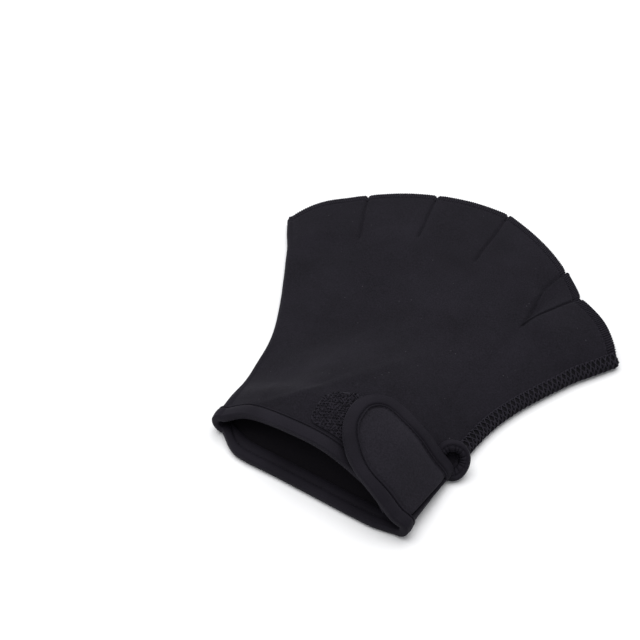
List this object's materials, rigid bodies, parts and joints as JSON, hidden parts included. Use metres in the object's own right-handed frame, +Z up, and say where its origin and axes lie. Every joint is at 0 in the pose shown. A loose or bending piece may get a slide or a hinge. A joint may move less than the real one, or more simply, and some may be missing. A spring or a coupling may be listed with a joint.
{
  "type": "webbed swim glove",
  "caption": "Right-hand webbed neoprene swim glove with scalloped open finger ends, bound cuff and wrist strap, lying palm down with its mouth open.",
  "frame": {"origin": "on the floor, under the middle of the glove's bounding box", "axes": "+Z up from the palm to the back of the hand, +Y from the cuff to the fingertips, +X to the thumb"},
  "size_m": [0.1766, 0.2132, 0.0325],
  "materials": {
    "neoprene": "black neoprene faced with fine knit, matt with a soft sheen",
    "binding_tape": "black stretch binding tape, smooth and slightly shinier than the neoprene",
    "loop_fastener": "black loop half of a touch fastener, rough and matt",
    "hook_fastener": "black hook half of a touch fastener, fine and stiff"
  },
  "bodies": {
    "root": {"back_panel": "neoprene", "palm_panel": "neoprene", "cuff_binding": "binding_tape", "strap": "neoprene", "strap_binding": "binding_tape", "loop_patch": "loop_fastener", "hook_patch": "hook_fastener", "slit_binding": "binding_tape"}
  },
  "joints": []
}
